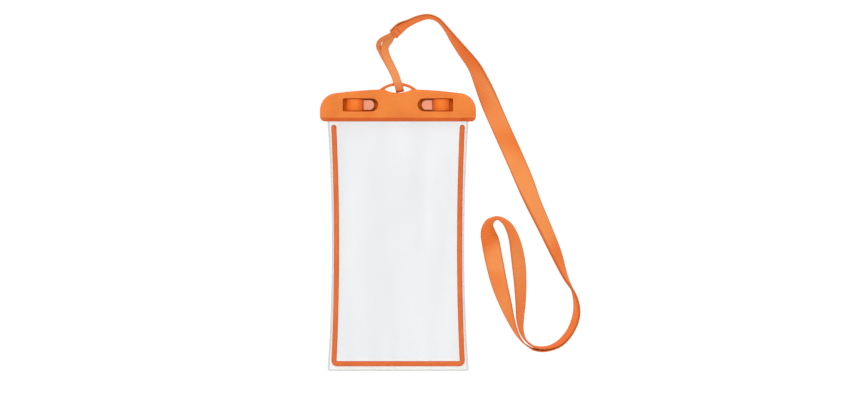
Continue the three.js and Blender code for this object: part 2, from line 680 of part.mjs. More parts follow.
function neckStrap() {
  const upper = runLine.map(({ place, wide, face }, i) => ({
    place: place.clone().addScaledVector(face, layerSpread(i)),
    wide,
  }));
  const lower = runLine.map(({ place, wide, face }, i) => ({
    place: place.clone().addScaledVector(face, -layerSpread(i)),
    wide,
  }));
  const first = upper[upper.length - 1].place;
  const back = lower[lower.length - 1].place;
  const partingRoll = strapRun[strapRun.length - 1][2];
  const loopPoints = [
    [first.x, first.y - clipUpperY, first.z, partingRoll],
    ...strapLoop.map((point) => standing(point, 1)),
    [back.x, back.y - clipUpperY, back.z, 180 - partingRoll],
  ];
  const loop = rolledLine(loopPoints, loopSteps).slice(1, -1);
  return ribbon([...upper, ...loop, ...lower.reverse()], strapWidth, strapThickness);
}

function tetherTape() {
  const sewn = runLine[0];
  const inward = runLine[1].place.clone().sub(sewn.place).normalize();
  const tucked = (side) => [tapeTuck, tapeTuck / 2, 0].map((depth) => ({
    place: sewn.place.clone().addScaledVector(inward, depth).addScaledVector(sewn.wide, side),
    wide: sewn.wide,
  }));
  const upper = rolledLine(tapeUpper, 18);
  const lower = rolledLine(tapeLower, 18);
  const turnPlace = upper[0].place;
  const along = upper[1].place.clone().sub(turnPlace).setZ(0).normalize();
  const turn = [];
  for (let i = 1; i <= 7; i += 1) {
    const angle = Math.PI / 2 + (i / 8) * Math.PI;
    const place = turnPlace.clone().addScaledVector(along, tapeTurnRadius * Math.cos(angle));
    place.z = tapeTurnCentreZ + tapeTurnRadius * Math.sin(angle);
    turn.push({ place, wide: upper[0].wide });
  }
  return ribbon(
    [...tucked(tapeSide), ...upper.reverse(), ...turn, ...lower, ...tucked(-tapeSide).reverse()],
    tapeWidth,
    tapeThickness,
  );
}

function piece(name, geometry, color, roughness, more = {}) {
  const material = new THREE.MeshStandardMaterial({ color, roughness, metalness: 0, ...more });
  const mesh = new THREE.Mesh(geometry, material);
  mesh.name = name;
  return mesh;
}

const clear = { transparent: true, opacity: 0.35 };
const pouch = new THREE.Group();
const clip = new THREE.Group();
const pocket = new THREE.Group();
const lanyard = new THREE.Group();

clip.add(piece('rear_jaw', geometryOf(rearJaw()), orange, 0.45));
clip.add(piece('front_jaw_shell', geometryOf(frontJawShell()), orange, 0.45));
clip.add(piece('front_jaw_plate', geometryOf(frontJawPlate()), deepOrange, 0.5));
clip.add(piece('seal_strip', geometryOf(sealStrip()), siliconeWhite, 0.6));
for (const [name, side] of [['left', -1], ['right', 1]]) {
  clip.add(piece(`slider_${name}`, geometryOf(slider(side)), orange, 0.4));
  clip.add(piece(`catch_${name}`, geometryOf(lockCatch(side)), salmon, 0.5));
}
pocket.add(piece('front_film', film(frontFilmZ), clearFilm, 0.15, clear));
pocket.add(piece('rear_film', film(rearFilmZ), clearFilm, 0.15, clear));
pocket.add(piece('border_strip', borderStrip(), deepOrange, 0.4));
lanyard.add(piece('tether_tape', tetherTape(), webbingOrange, 0.85));
lanyard.add(piece('neck_strap', neckStrap(), webbingOrange, 0.85));
pouch.add(clip, pocket, lanyard);

export default pouch;
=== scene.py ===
import math

import bmesh
import bpy
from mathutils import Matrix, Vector


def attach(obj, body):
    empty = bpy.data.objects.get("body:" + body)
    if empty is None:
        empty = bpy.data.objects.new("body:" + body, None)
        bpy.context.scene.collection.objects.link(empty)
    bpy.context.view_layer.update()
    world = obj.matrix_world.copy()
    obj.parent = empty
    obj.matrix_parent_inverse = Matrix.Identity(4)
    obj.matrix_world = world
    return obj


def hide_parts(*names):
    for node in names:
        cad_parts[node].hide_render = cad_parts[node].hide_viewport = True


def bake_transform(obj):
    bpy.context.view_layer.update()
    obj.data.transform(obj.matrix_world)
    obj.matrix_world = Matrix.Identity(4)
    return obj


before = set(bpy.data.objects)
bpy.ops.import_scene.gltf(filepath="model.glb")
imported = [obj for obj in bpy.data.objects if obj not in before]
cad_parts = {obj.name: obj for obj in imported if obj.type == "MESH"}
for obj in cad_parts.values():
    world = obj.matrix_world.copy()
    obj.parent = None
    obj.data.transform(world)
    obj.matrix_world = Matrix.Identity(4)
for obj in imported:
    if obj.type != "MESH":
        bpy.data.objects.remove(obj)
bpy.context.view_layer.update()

MM = 0.001

# Sizes that the pieces share with the solids, in millimetres
CLIP_LOW = 72.2
CLIP_HIGH = 94.0
FILM_THICK = 0.5
STRAP_WIDTH = 12.5
STRAP_THICK = 0.9
STRAP_RIB = 1.25
TAPE_SIZE = 5.8
TAPE_THICK = 0.6
TAPE_RIB = 1.0

# Camera: straight above, with a long lens, at the photograph's framing
CAMERA_HEIGHT = 2.0
VIEW_WIDTH = 0.5858
VIEW_CENTRE = (0.0198, 0.0150)
SENSOR = 36.0

camera_data = bpy.data.cameras.new("camera")
camera_data.sensor_width = SENSOR
camera_data.lens = SENSOR * CAMERA_HEIGHT / VIEW_WIDTH
camera_data.clip_end = 20.0
camera = bpy.data.objects.new("camera", camera_data)
camera.location = (VIEW_CENTRE[0], VIEW_CENTRE[1], CAMERA_HEIGHT)
bpy.context.collection.objects.link(camera)
bpy.context.scene.camera = camera


# Mesh helpers

def link_mesh(name, vertices, faces):
    mesh = bpy.data.meshes.new(name)
    mesh.from_pydata([tuple(v) for v in vertices], [], faces)
    mesh.validate()
    mesh.update()
    mesh.polygons.foreach_set("use_smooth", [True] * len(mesh.polygons))
    piece = bpy.data.objects.new(name, mesh)
    bpy.context.collection.objects.link(piece)
    return piece


def turn_faces_out(piece):
    shape = bmesh.new()
    shape.from_mesh(piece.data)
    bmesh.ops.recalc_face_normals(shape, faces=shape.faces)
    shape.to_mesh(piece.data)
    shape.free()


def apply_modifiers(piece):
    graph = bpy.context.evaluated_depsgraph_get()
    done = bpy.data.meshes.new_from_object(piece.evaluated_get(graph))
    piece.modifiers.clear()
    piece.data = done
    return piece


def moulded_copy(node, voxel, rounds, keep=1.0):
    """A CAD node's shape as a moulding: every edge is eased, as it is when it comes out of a mould."""
    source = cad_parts[node]
    piece = bpy.data.objects.new(node + "_moulding", source.data.copy())
    bpy.context.collection.objects.link(piece)
    shape = bmesh.new()
    shape.from_mesh(piece.data)
    bmesh.ops.remove_doubles(shape, verts=shape.verts, dist=1e-6)
    shape.to_mesh(piece.data)
    shape.free()
    remesh = piece.modifiers.new("remesh", "REMESH")
    remesh.mode = "VOXEL"
    remesh.voxel_size = voxel
    ease = piece.modifiers.new("ease", "SMOOTH")
    ease.factor = 0.5
    ease.iterations = rounds
    if keep < 1.0:
        thin = piece.modifiers.new("thin", "DECIMATE")
        thin.ratio = keep
    apply_modifiers(piece)
    piece.data.materials.clear()
    piece.data.polygons.foreach_set("use_smooth", [True] * len(piece.data.polygons))
    return piece


def finish_piece(piece, material, body, slot, *nodes):
    if material is not None:
        piece.data.materials.clear()
        piece.data.materials.append(material)
    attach(piece, body)
    if nodes:
        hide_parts(*nodes)
    return piece


# Material helpers

def linear(hex_colour):
    """An sRGB hex colour as linear values."""
    values = [int(hex_colour[i:i + 2], 16) / 255 for i in (1, 3, 5)]
    return tuple(v / 12.92 if v <= 0.04045 else ((v + 0.055) / 1.055) ** 2.4 for v in values) + (1.0,)


def add_node(tree, kind, settings=None, links=None):
    """A node with its settings; a link is a value, or a (node, output name) pair."""
    node = tree.nodes.new(kind)
    for key, value in (settings or {}).items():
        setattr(node, key, value)
    for key, value in (links or {}).items():
        if isinstance(value, tuple) and len(value) == 2 and isinstance(value[0], bpy.types.Node):
            tree.links.new(value[0].outputs[value[1]], node.inputs[key])
        else:
            node.inputs[key].default_value = value
    return node


def new_material(name):
    material = bpy.data.materials.new(name)
    material.use_nodes = True
    tree = material.node_tree
    tree.nodes.clear()
    output = tree.nodes.new("ShaderNodeOutputMaterial")
    shader = tree.nodes.new("ShaderNodeBsdfPrincipled")
    tree.links.new(shader.outputs["BSDF"], output.inputs["Surface"])
    return material, tree, shader


# Patches in the colours, as patches to a metre: the mouldings' are about 18 mm across, the cloth's 14 mm and
# its dye's 38 mm
MOTTLE_SCALE = 55.0
CLOTH_SCALE = 70.0
DYE_SCALE = 26.0


def moulded_plastic(
    name, face, side, mottle, roughness, gloss, grain_mm, grain_depth, full_painted_shade_at=0.25, no_painted_shade_at=0.95,
):
    """A moulded polymer: an even face, painted shade where the wall turns away from straight up (the side
    colour, deeper than the face), and a fine grain that breaks up its highlights. The bead, the seal and the
    thread use it too."""
    material, tree, shader = new_material(name)
    place = add_node(tree, "ShaderNodeTexCoord")
    parts = add_node(tree, "ShaderNodeSeparateXYZ", links={"Vector": (place, "Normal")})
    level = add_node(tree, "ShaderNodeMath", {"operation": "ABSOLUTE"}, {0: (parts, "Z")})
    # Painted shade: the side colour takes over as the wall turns away from straight up, the face colour
    # where it lies flat
    painted_shade_by_facing = add_node(tree, "ShaderNodeMapRange", links={
        "Value": (level, "Value"), "From Min": full_painted_shade_at, "From Max": no_painted_shade_at,
    })
    turned = add_node(tree, "ShaderNodeMix", {"data_type": "RGBA"}, {
        0: (painted_shade_by_facing, "Result"), 6: linear(side), 7: linear(face),
    })
    cloud = add_node(tree, "ShaderNodeTexNoise", links={
        "Vector": (place, "Object"), "Scale": MOTTLE_SCALE, "Detail": 3.0, "Roughness": 0.6,
    })
    cloudy = add_node(tree, "ShaderNodeMapRange", links={
        "Value": (cloud, "Fac"), "From Min": 0.35, "From Max": 0.7,
    })
    patch = add_node(tree, "ShaderNodeMix", {"data_type": "RGBA"}, {
        0: (cloudy, "Result"), 6: linear(mottle), 7: (1.0, 1.0, 1.0, 1.0),
    })
    colour = add_node(tree, "ShaderNodeMix", {"data_type": "RGBA", "blend_type": "MULTIPLY"}, {
        0: 1.0, 6: (turned, 2), 7: (patch, 2),
    })
    tree.links.new(colour.outputs[2], shader.inputs["Base Color"])
    grain = add_node(tree, "ShaderNodeTexNoise", links={
        "Vector": (place, "Object"), "Scale": 1000.0 / grain_mm, "Detail": 2.0,
    })
    bump = add_node(tree, "ShaderNodeBump", links={
        "Height": (grain, "Fac"), "Strength": grain_depth, "Distance": 0.05 * MM,
    })
    tree.links.new(bump.outputs["Normal"], shader.inputs["Normal"])
    shader.inputs["Roughness"].default_value = roughness
    shader.inputs["IOR"].default_value = 1.54
    shader.inputs["Specular IOR Level"].default_value = gloss
    shader.inputs["Subsurface Weight"].default_value = 0.5
    shader.inputs["Subsurface Radius"].default_value = (1.0, 0.25, 0.08)
    shader.inputs["Subsurface Scale"].default_value = 3.0 * MM
    return material


STREAK_MM = 12.0
STREAK_STRETCH = 0.12


def clear_film(name, colour, streak, alpha, roughness):
    """Soft TPU film: almost clear, with long faint streaks that run the way the film was rolled."""
    material, tree, shader = new_material(name)
    place = add_node(tree, "ShaderNodeTexCoord")
    drawn = add_node(tree, "ShaderNodeMapping", links={
        "Vector": (place, "Object"), "Scale": (1.0, STREAK_STRETCH, 1.0),
    })
    cloud = add_node(tree, "ShaderNodeTexNoise", links={
        "Vector": (drawn, "Vector"), "Scale": 1.0 / (STREAK_MM * MM), "Detail": 2.0,
    })
    streaky = add_node(tree, "ShaderNodeMapRange", links={
        "Value": (cloud, "Fac"), "From Min": 0.35, "From Max": 0.65,
    })
    tint = add_node(tree, "ShaderNodeMix", {"data_type": "RGBA"}, {
        0: (streaky, "Result"), 6: linear(colour), 7: linear(streak),
    })
    tree.links.new(tint.outputs[2], shader.inputs["Base Color"])
    shader.inputs["Alpha"].default_value = alpha
    shader.inputs["Roughness"].default_value = roughness
    shader.inputs["IOR"].default_value = 1.5
    return material


THREAD_MM = 0.9
SELVEDGE_FROM_MM = 1.1
SELVEDGE_TO_MM = 0.2


def woven_webbing(name, lying_painted_lit, standing_painted_shade, deep, edge, width_mm, rib_mm):
    """Flat polyester webbing: cross ribs, threads between them, painted shade in the grooves, and a denser
    selvedge.
    It has painted light and shade: paler where it lies flat and deeper where it stands up. Real threads are
    finer: these are coarse enough to show."""
    material, tree, shader = new_material(name)
    cloth = add_node(tree, "ShaderNodeUVMap", {"uv_map": "cloth"})
    parts = add_node(tree, "ShaderNodeSeparateXYZ", links={"Vector": (cloth, "UV")})
    along = add_node(tree, "ShaderNodeMath", {"operation": "MULTIPLY"}, {
        0: (parts, "Y"), 1: 2 * math.pi * width_mm / rib_mm,
    })
    rib = add_node(tree, "ShaderNodeMath", {"operation": "SINE"}, {0: (along, "Value")})
    across = add_node(tree, "ShaderNodeMath", {"operation": "MULTIPLY"}, {
        0: (parts, "X"), 1: 2 * math.pi * width_mm / THREAD_MM,
    })
    thread = add_node(tree, "ShaderNodeMath", {"operation": "SINE"}, {0: (across, "Value")})
    weave = add_node(tree, "ShaderNodeMath", {"operation": "MULTIPLY_ADD"}, {
        0: (thread, "Value"), 1: 0.35, 2: (rib, "Value"),
    })
    place = add_node(tree, "ShaderNodeTexCoord")
    cloud = add_node(tree, "ShaderNodeTexNoise", links={
        "Vector": (place, "Object"), "Scale": CLOTH_SCALE, "Detail": 4.0, "Roughness": 0.65,
    })
    # Painted light and shade: the cloth is paler where it lies flat and deeper where it stands up, broken by
    # a cloud of random tone
    turn = add_node(tree, "ShaderNodeSeparateXYZ", links={"Vector": (place, "Normal")})
    level = add_node(tree, "ShaderNodeMath", {"operation": "ABSOLUTE"}, {0: (turn, "Z")})
    painted_shade_by_facing = add_node(tree, "ShaderNodeMapRange", links={
        "Value": (level, "Value"), "From Min": 0.05, "From Max": 0.95,
    })
    cloudy = add_node(tree, "ShaderNodeMath", {"operation": "MULTIPLY_ADD", "use_clamp": True}, {
        0: (cloud, "Fac"), 1: 0.5, 2: (painted_shade_by_facing, "Result"),
    })
    painted_shade_and_cloud = add_node(tree, "ShaderNodeMath", {"operation": "SUBTRACT", "use_clamp": True}, {
        0: (cloudy, "Value"), 1: 0.25,
    })
    base = add_node(tree, "ShaderNodeMix", {"data_type": "RGBA"}, {
        0: (painted_shade_and_cloud, "Value"), 6: linear(standing_painted_shade), 7: linear(lying_painted_lit),
    })
    # Painted shade: the cloth is darker in the low parts of its weave, between the ribs and threads
    painted_groove_shade = add_node(tree, "ShaderNodeMapRange", links={
        "Value": (weave, "Value"), "From Min": -1.2, "From Max": 0.4, "To Min": 0.84, "To Max": 1.0,
    })
    patches = add_node(tree, "ShaderNodeTexNoise", links={
        "Vector": (place, "Object"), "Scale": DYE_SCALE, "Detail": 1.0,
    })
    patch = add_node(tree, "ShaderNodeMapRange", links={
        "Value": (patches, "Fac"), "From Min": 0.48, "From Max": 0.72, "To Min": 0.0, "To Max": 0.7,
    })
    dyed = add_node(tree, "ShaderNodeMix", {"data_type": "RGBA"}, {
        0: (patch, "Result"), 6: (base, 2), 7: linear(deep),
    })
    ribbed = add_node(tree, "ShaderNodeMix", {"data_type": "RGBA", "blend_type": "MULTIPLY"}, {
        0: 1.0, 6: (dyed, 2), 7: (painted_groove_shade, "Result"),
    })
    middle = add_node(tree, "ShaderNodeMath", {"operation": "SUBTRACT"}, {0: (parts, "X"), 1: 0.5})
    distance = add_node(tree, "ShaderNodeMath", {"operation": "ABSOLUTE"}, {0: (middle, "Value")})
    at_edge = add_node(tree, "ShaderNodeMapRange", links={
        "Value": (distance, "Value"), "From Min": 0.5 - SELVEDGE_FROM_MM / width_mm,
        "From Max": 0.5 - SELVEDGE_TO_MM / width_mm, "To Min": 0.0, "To Max": 0.8,
    })
    selvedge = add_node(tree, "ShaderNodeMix", {"data_type": "RGBA"}, {
        0: (at_edge, "Result"), 6: (ribbed, 2), 7: linear(edge),
    })
    tree.links.new(selvedge.outputs[2], shader.inputs["Base Color"])
    bump = add_node(tree, "ShaderNodeBump", links={
        "Height": (weave, "Value"), "Strength": 0.5, "Distance": 0.06 * MM,
    })
    tree.links.new(bump.outputs["Normal"], shader.inputs["Normal"])
    shader.inputs["Roughness"].default_value = 0.8
    shader.inputs["Specular IOR Level"].default_value = 0.15
    shader.inputs["Sheen Weight"].default_value = 0.03
    shader.inputs["Sheen Roughness"].default_value = 0.5
    return material


# In each of these the second colour is painted shade, taken where the wall turns away from straight up
# Injection-moulded ABS with a fine spark-eroded grain: an even satin face
clip_abs = moulded_plastic("moulded_orange_abs", "#E2853E", "#E05A02", "#F3E9E4", 0.45, 0.05, 0.35, 0.25)
# The same ABS from a smoother mould: a soft highlight along the crown of the thumb piece, partly from its
# gloss and partly painted, with the face colour kept to the crown and painted shade as the dome falls away
slider_abs = moulded_plastic(
    "polished_orange_abs", "#E47A1A", "#D85600", "#F6EFEA", 0.34, 0.2, 0.5, 0.1, full_painted_shade_at=0.92, no_painted_shade_at=1.0,
)
# The inner plate's ABS, painted light: a stronger orange than the clip's, standing in for the warm light in
# the lock windows, so that they look deep and warm
well_abs = moulded_plastic("orange_abs_with_painted_well_light", "#FF8018", "#FA5E04", "#F6EFEA", 0.45, 0.05, 0.35, 0.25)
# Pale ABS, moulded apart from the clip: a salmon face that stands out in the window
catch_abs = moulded_plastic("moulded_salmon_abs", "#E69C7A", "#E07C4C", "#F8F0EE", 0.4, 0.3, 0.35, 0.2)
# Soft PVC bead welded onto the film: a bright crown, with painted shade as dark edges where it meets the
# film
bead_pvc = moulded_plastic("welded_orange_pvc", "#D27038", "#8A3408", "#F5ECE8", 0.4, 0.1, 0.6, 0.15)
# Moulded silicone: an even, slightly waxy white
silicone = moulded_plastic("moulded_white_silicone", "#E9E6E0", "#D8D4CC", "#F6F6F6", 0.55, 0.4, 0.4, 0.2)
# Spun polyester thread: dull, and a little deeper than the webbing
thread = moulded_plastic("polyester_sewing_thread", "#D9622A", "#C24A18", "#F0E8E4", 0.7, 0.3, 0.3, 0.3)
# Calendered TPU: clear and glossy over the pocket, hazier where it was welded, and greyest at its cut edge
film_clear = clear_film("clear_tpu_film", "#9EA4AE", "#BCC0C6", 0.1, 0.08)
film_weld = clear_film("welded_tpu_film", "#D4CCC0", "#E0DAD0", 0.12, 0.25)
film_rim = clear_film("cut_edge_of_tpu_film", "#ACAEB0", "#B6B8BA", 0.2, 0.3)
# Woven and dyed polyester: matt, with cross ribs and a dye that took unevenly; painted light and shade make
# it paler where it lies flat and deeper where it stands up
webbing = woven_webbing(
    "polyester_webbing", "#E29256", "#F4781E", "#DE6012", "#CC6226", STRAP_WIDTH, STRAP_RIB,
)
tape_webbing = woven_webbing(
    "narrow_polyester_tape", "#DA8F56", "#F28C4C", "#DC7A3C", "#D67840", TAPE_SIZE, TAPE_RIB,
)


# Rigid pieces: each stands for its own node

LOCK_Y = 83.2 * MM
THUMB_HALF = 4.05 * MM
THUMB_LOW_Z = 12.4 * MM
THUMB_FALL = 0.5 * MM


def crown_thumb(piece):
    """The thumb piece's dome also falls away towards its two long sides."""
    for vertex in piece.data.vertices:
        if vertex.co.z > THUMB_LOW_Z:
            aside = (vertex.co.y - LOCK_Y) / THUMB_HALF
            vertex.co.z -= THUMB_FALL * aside * aside * min((vertex.co.z - THUMB_LOW_Z) / THUMB_FALL, 1.0)


# Node, body, material, slot, voxel in millimetres, rounds of easing, share of the faces kept
RIGID = [
    ("rear_jaw", "pouch", clip_abs, "orange_clip", 0.35, 6, 0.6),
    ("front_jaw_shell", "front_jaw", clip_abs, "orange_clip", 0.33, 6, 0.6),
    ("front_jaw_plate", "front_jaw", well_abs, "orange_clip", 0.3, 3, 0.4),
    ("seal_strip", "pouch", silicone, "white_seal", 0.25, 4, 0.5),
    ("slider_left", "slider_left", slider_abs, "orange_clip", 0.16, 5, 0.7),
    ("slider_right", "slider_right", slider_abs, "orange_clip", 0.16, 5, 0.7),
    ("catch_left", "pouch", catch_abs, "pale_catch", 0.16, 4, 0.6),
    ("catch_right", "pouch", catch_abs, "pale_catch", 0.16, 4, 0.6),
]
for node, body, material, slot, voxel_mm, rounds, keep in RIGID:
    moulding = moulded_copy(node, voxel_mm * MM, rounds, keep)
    if node.startswith("slider"):
        crown_thumb(moulding)
    finish_piece(moulding, material, body, slot, node)


# Film pocket

POUCH_BOTTOM_Y = -98.75
POUCH_WAIST_Y = -14.0
HALF_TOP = 48.25
HALF_WAIST = 45.3
HALF_BOTTOM = 48.45
CORNER_RADIUS = 2.2
BEAD_WIDTH = 3.5
BEAD_HEIGHT = 1.0
BEAD_TOP_Y = 69.8
BEAD_BOTTOM_INSET = 5.1
BEAD_INSET_ENDS = 4.2
BEAD_INSET_WAIST = 3.2
BEAD_CORNER_RADIUS = 2.2
BEAD_EDGE_HEIGHT = 0.4
BEAD_FOOT = 0.1  # how far the bead sinks into the film
LIP_DEPTH = 5.4
SEAM_IN_CLIP_Z = 6.9
SEAM_MIDDLE_Z = 3.9
SEAM_BOTTOM_Z = 3.1
SEAM_SAG_LENGTH = 62.0
SEAM_SETTLE_LENGTH = 70.0
HALF_GAP = 0.15  # from the seam to each film
FRONT_BULGE = 4.2
REAR_BULGE = 5.2
BULGE_START_LENGTH = 45.0
BULGE_END_LENGTH = 24.0
BULGE_SQUARENESS = 2.6
BULGE_SIDE_SHAPE = 0.8
BULGE_END_SHAPE = 2.2
SETTLE_HEIGHT = 0.6  # below it the rear film flattens onto the surface
SETTLE_RATE = 0.8
RIM_WIDTH = 1.35
WELD_WIDTH = 0.9
POCKET_BOTTOM_Y = POUCH_BOTTOM_Y + BEAD_BOTTOM_INSET + BEAD_WIDTH / 2


def smoothstep(x, low, high):
    t = min(max((x - low) / (high - low), 0.0), 1.0)
    return t * t * (3 - 2 * t)


def taper(y):
    span = CLIP_LOW - POUCH_WAIST_Y if y > POUCH_WAIST_Y else POUCH_WAIST_Y - POUCH_BOTTOM_Y
    return min(abs(y - POUCH_WAIST_Y) / span, 1.0) ** 2


def plain_half(y):
    ends = HALF_TOP if y > POUCH_WAIST_Y else HALF_BOTTOM
    return HALF_WAIST + (ends - HALF_WAIST) * taper(y)


def pouch_half(y):
    up = max(CORNER_RADIUS - (y - POUCH_BOTTOM_Y), 0.0)
    return plain_half(y) - CORNER_RADIUS + math.sqrt(max(CORNER_RADIUS ** 2 - up ** 2, 0.0))


def bead_half(y):
    return plain_half(y) - BEAD_INSET_WAIST - (BEAD_INSET_ENDS - BEAD_INSET_WAIST) * taper(y)


def seam_z(y):
    near = smoothstep(CLIP_LOW - y, 0.0, SEAM_SAG_LENGTH)
    far = smoothstep(POUCH_WAIST_Y - y, 0.0, SEAM_SETTLE_LENGTH)
    sag = (SEAM_MIDDLE_Z - SEAM_IN_CLIP_Z) * near
    return SEAM_IN_CLIP_Z + sag + (SEAM_BOTTOM_Z - SEAM_MIDDLE_Z) * far


def fill(x, y):
    across = min(abs(x) / (bead_half(y) - BEAD_WIDTH / 2), 1.0)
    start = smoothstep(CLIP_LOW - y, 0.0, BULGE_START_LENGTH)
    end = min(max((y - POCKET_BOTTOM_Y) / BULGE_END_LENGTH, 0.0), 1.0)
    belly = (1 - across ** BULGE_SQUARENESS) ** BULGE_SIDE_SHAPE
    return belly * start * (1 - (1 - end) ** BULGE_END_SHAPE)


def front_z(x, y):
    return seam_z(y) + HALF_GAP + FRONT_BULGE * fill(x, y)


def rear_z(x, y):
    free = seam_z(y) - (HALF_GAP + FILM_THICK) - REAR_BULGE * fill(x, y)
    if free > SETTLE_HEIGHT:
        return free
    return SETTLE_HEIGHT * max(1 - (1 - free / SETTLE_HEIGHT) * SETTLE_RATE, 0.0)


def film_rows():
    rows = [CLIP_LOW + LIP_DEPTH * k / 4 for k in range(4, 0, -1)]
    steps = 110
    rows += [CLIP_LOW + (POCKET_BOTTOM_Y - CLIP_LOW) * k / steps for k in range(steps + 1)]
    rows += [POCKET_BOTTOM_Y - BEAD_WIDTH * k / 3 for k in (1, 2, 3)]
    corner = [0.85, 0.7, 0.55, 0.42, 0.3, 0.2, 0.12, 0.06, 0.02, 0.0]
    return rows + [POUCH_BOTTOM_Y + CORNER_RADIUS * t for t in corner]


def film_sheet(name, low_z):
    """A closed film: its upper and lower faces and its cut edge."""
    rows = film_rows()
    inside = [math.sin(k / 30 * math.pi / 2) for k in range(-30, 31)]
    margin = [0.18, 0.36, 0.55, 0.75, 0.88, 1.0]
    layers = []
    for high in (FILM_THICK, 0.0):
        layer = []
        for y in rows:
            half = pouch_half(y)
            inner = min(bead_half(y) - BEAD_WIDTH / 2, half - 0.5)
            xs = [-half + (half - inner) * (1 - m) for m in reversed(margin)]
            xs += [t * inner for t in inside]
            xs += [half - (half - inner) * (1 - m) for m in margin]
            layer.append([Vector((x * MM, y * MM, (low_z(x, y) + high) * MM)) for x in xs])
        layers.append(layer)
    row_count = len(rows)
    column_count = len(layers[0][0])
    vertices = [v for layer in layers for row in layer for v in row]
    size = row_count * column_count

    def at(layer, row, column):
        return layer * size + row * column_count + column

    faces = []
    zones = []
    for row in range(row_count - 1):
        for column in range(column_count - 1):
            a, b = at(0, row, column), at(0, row + 1, column)
            c, d = b + 1, a + 1
            faces.append((a, b, c, d))
            faces.append((a + size, d + size, c + size, b + size))
            x = abs(vertices[a].x + vertices[c].x) / 2 / MM
            y = (vertices[a].y + vertices[c].y) / 2 / MM
            rim = pouch_half(y) - x < RIM_WIDTH or y - POUCH_BOTTOM_Y < RIM_WIDTH
            weld = x > bead_half(y) - BEAD_WIDTH / 2 - WELD_WIDTH or y < POCKET_BOTTOM_Y + WELD_WIDTH
            zones += [2 if rim and y < CLIP_LOW else 1 if weld else 0] * 2
    for row in range(row_count - 1):
        for column, turn in ((0, False), (column_count - 1, True)):
            a, b = at(0, row, column), at(0, row + 1, column)
            faces.append((a, b, b + size, a + size) if turn else (a, a + size, b + size, b))
            zones.append(2)
    for column in range(column_count - 1):
        for row, turn in ((0, True), (row_count - 1, False)):
            a, b = at(0, row, column), at(0, row, column + 1)
            faces.append((a, b, b + size, a + size) if turn else (a, a + size, b + size, b))
            zones.append(2)
    piece = link_mesh(name, vertices, faces)
    for material in (film_clear, film_weld, film_rim):
        piece.data.materials.append(material)
    piece.data.polygons.foreach_set("material_index", zones)
    turn_faces_out(piece)
    return piece


front_film = film_sheet("front_film_sheet", front_z)
rear_film = film_sheet("rear_film_sheet", rear_z)
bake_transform(front_film)
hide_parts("front_film")
finish_piece(rear_film, None, "pouch", "clear_film", "rear_film")


# Sections swept along stations

def sweep(name, stations, rings):
    """Stations are (place, wide, thick); each has a ring of (across, up) points. Both ends are closed."""
    vertices = []
    for (place, wide, thick), ring in zip(stations, rings):
        for across, up in ring:
            vertices.append(place + wide * across + thick * up)
    sides = len(rings[0])
    faces = []
    for i in range(len(stations) - 1):
        for k in range(sides):
            a = i * sides + k
            b = i * sides + (k + 1) % sides
            faces.append((a, b, b + sides, a + sides))
    last = (len(stations) - 1) * sides
    faces.append(tuple(range(sides)))
    faces.append(tuple(last + k for k in reversed(range(sides))))
    piece = link_mesh(name, vertices, faces)
    turn_faces_out(piece)
    return piece


def bead_line():
    """The bead's middle line, from one top end round the bottom to the other, in millimetres."""
    bottom = POUCH_BOTTOM_Y + BEAD_BOTTOM_INSET
    turn_y = bottom + BEAD_CORNER_RADIUS
    turn_x = bead_half(turn_y) - BEAD_CORNER_RADIUS
    end = BEAD_WIDTH / 2
    left = [(BEAD_TOP_Y - end * (1 - math.cos(k / 8 * math.pi / 2))) for k in range(9)]
    side = [(y, min(1.0, math.sqrt(1 - (1 - (BEAD_TOP_Y - y) / end) ** 2))) for y in left]
    steps = 120
    side += [(BEAD_TOP_Y - end + (turn_y - BEAD_TOP_Y + end) * k / steps, 1.0) for k in range(1, steps + 1)]
    line = [(-bead_half(y), y, scale) for y, scale in side]
    for k in range(1, 13):
        angle = math.pi + k / 12 * math.pi / 2
        x = -turn_x + BEAD_CORNER_RADIUS * math.cos(angle)
        line.append((x, turn_y + BEAD_CORNER_RADIUS * math.sin(angle), 1.0))
    cross = [(-turn_x + 2 * turn_x * k / 40, bottom, 1.0) for k in range(1, 40)]
    mirrored = [(-x, y, scale) for x, y, scale in reversed(line)]
    return line + cross + mirrored


def border_bead():
    line = bead_line()
    up = Vector((0, 0, 1))
    stations = []
    rings = []
    half = BEAD_WIDTH / 2 * MM
    for i, (x, y, scale) in enumerate(line):
        before = line[max(i - 1, 0)]
        after = line[min(i + 1, len(line) - 1)]
        along = Vector((after[0] - before[0], after[1] - before[1], 0)).normalized()
        place = Vector((x * MM, y * MM, front_z(x, y) * MM + FILM_THICK * MM))
        stations.append((place, up.cross(along), up))
        size = max(scale, 0.06)
        height_share = min(1.0, 0.3 + 0.7 * size)
        ring = []
        for k in range(17):
            angle = math.pi * k / 16
            height = BEAD_EDGE_HEIGHT + (BEAD_HEIGHT - BEAD_FOOT) * math.sin(angle) ** 0.8
            ring.append((-half * size * math.cos(angle), height * MM * height_share))
        ring += [(half * size, -BEAD_FOOT * MM), (-half * size, -BEAD_FOOT * MM)]
        rings.append(ring)
    return sweep("border_bead", stations, rings)


finish_piece(border_bead(), bead_pvc, "pouch", "orange_bead", "border_strip")


# Lanyard routes. The strap's is the solids' own: x, y from the clip's upper edge, and roll in degrees. The
# tape's adds z, and differs from the solids' in a few points near the eye and the joint

